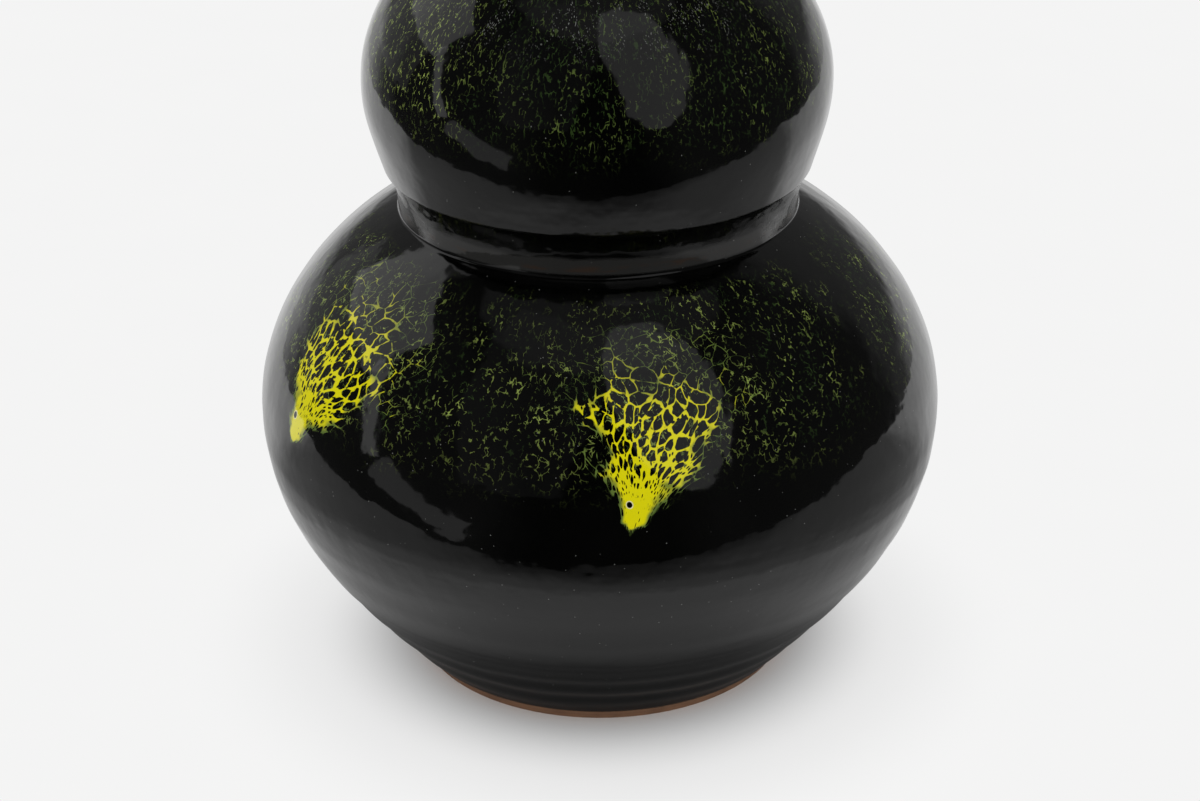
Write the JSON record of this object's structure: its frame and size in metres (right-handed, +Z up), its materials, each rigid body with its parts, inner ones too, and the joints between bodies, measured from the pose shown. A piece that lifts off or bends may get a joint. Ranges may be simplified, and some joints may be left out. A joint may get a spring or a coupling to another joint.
{
  "type": "double gourd vase",
  "caption": "Thrown stoneware vase with a wide lower bulb, a coved collar, a smaller upper bulb and a short neck, glazed outside and in to hold water and stems.",
  "frame": {"origin": "on the axis, in the plane the foot ring stands on", "axes": "+Z up along the axis the vase was thrown round, -Y towards the viewer of the picture"},
  "size_m": [0.2, 0.2, 0.2474],
  "materials": {
    "stoneware": "bare fired clay, matt",
    "luting_slip": "fired slip, matt",
    "black_glaze": "gloss black with yellow webbing",
    "liner_glaze": "gloss dark brown"
  },
  "bodies": {
    "root": {"lower_bulb": "stoneware", "lower_slip": "luting_slip", "waist_collar": "stoneware", "upper_slip": "luting_slip", "upper_bulb": "stoneware", "neck_slip": "luting_slip", "neck": "stoneware", "outer_glaze": "black_glaze", "liner_glaze": "liner_glaze"}
  },
  "joints": []
}
